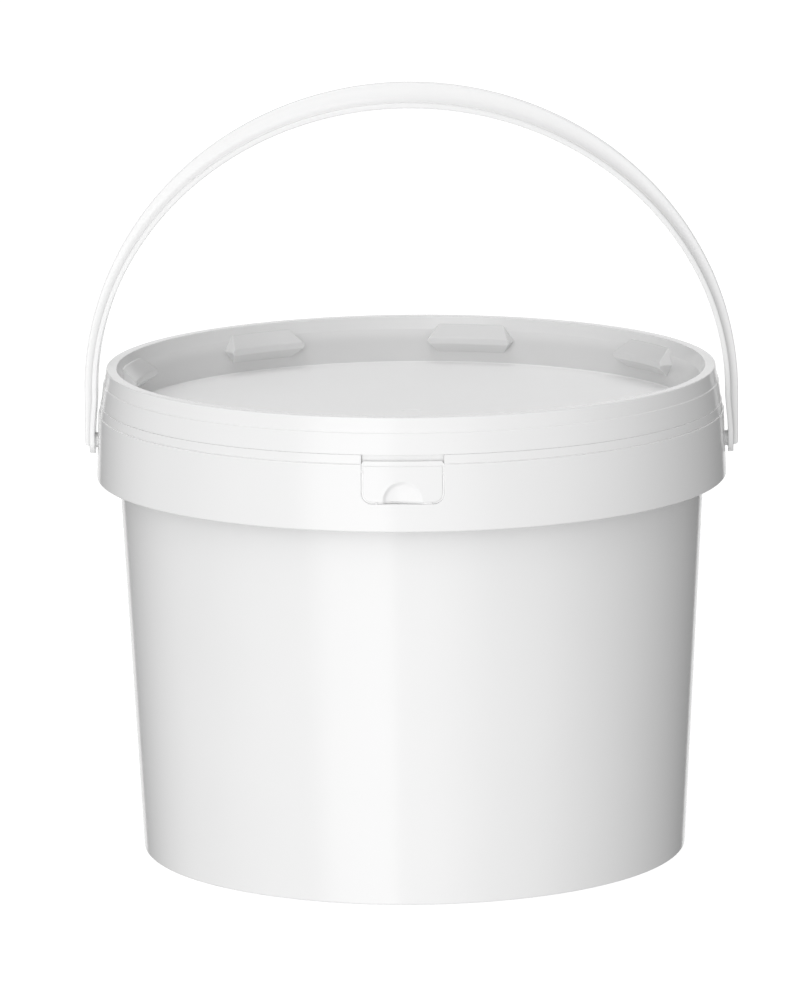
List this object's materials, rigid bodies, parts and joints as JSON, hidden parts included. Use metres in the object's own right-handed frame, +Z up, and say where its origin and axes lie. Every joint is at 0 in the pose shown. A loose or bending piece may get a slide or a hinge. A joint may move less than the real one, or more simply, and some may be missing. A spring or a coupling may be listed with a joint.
{
  "type": "lidded bucket",
  "caption": "Round lidded plastic bucket: tapered wall, tamper collar with a tear-out tab, lid with a sunken stacking panel, and an arched carry handle that swings on two pins.",
  "frame": {"origin": "centre of the base, on the surface it stands on", "axes": "+Z up along the bucket's axis, the tear tab faces -Y, and the handle's pins lie along X"},
  "size_m": [0.2344, 0.226, 0.277],
  "materials": {
    "bucket_plastic": "white polypropylene, polished mould finish",
    "lid_plastic": "white polypropylene, polished mould finish",
    "handle_plastic": "white polypropylene, satin mould finish"
  },
  "bodies": {
    "bucket": {"bucket_shell": "bucket_plastic", "tamper_collar": "bucket_plastic"},
    "lid": {"lid": "lid_plastic", "stacking_lugs": "lid_plastic"},
    "tab": {"tear_tab": "bucket_plastic", "tab_bridges": "bucket_plastic"},
    "handle": {"carry_handle": "handle_plastic", "pivot_pins": "handle_plastic"}
  },
  "joints": [
    {"name": "handle_swing", "type": "hinge", "parent": "bucket", "child": "handle", "pos_m": [0, 0, 0.148], "axis": [1, 0, 0], "range_deg": [-118, 118]},
    {"name": "lid_lift", "type": "slide", "parent": "bucket", "child": "lid", "axis": [0, 0, 1], "range_m": [0, 0.013]},
    {"name": "tab_pull", "type": "slide", "parent": "bucket", "child": "tab", "axis": [0, -1, 0], "range_m": [0, 0.03]}
  ]
}
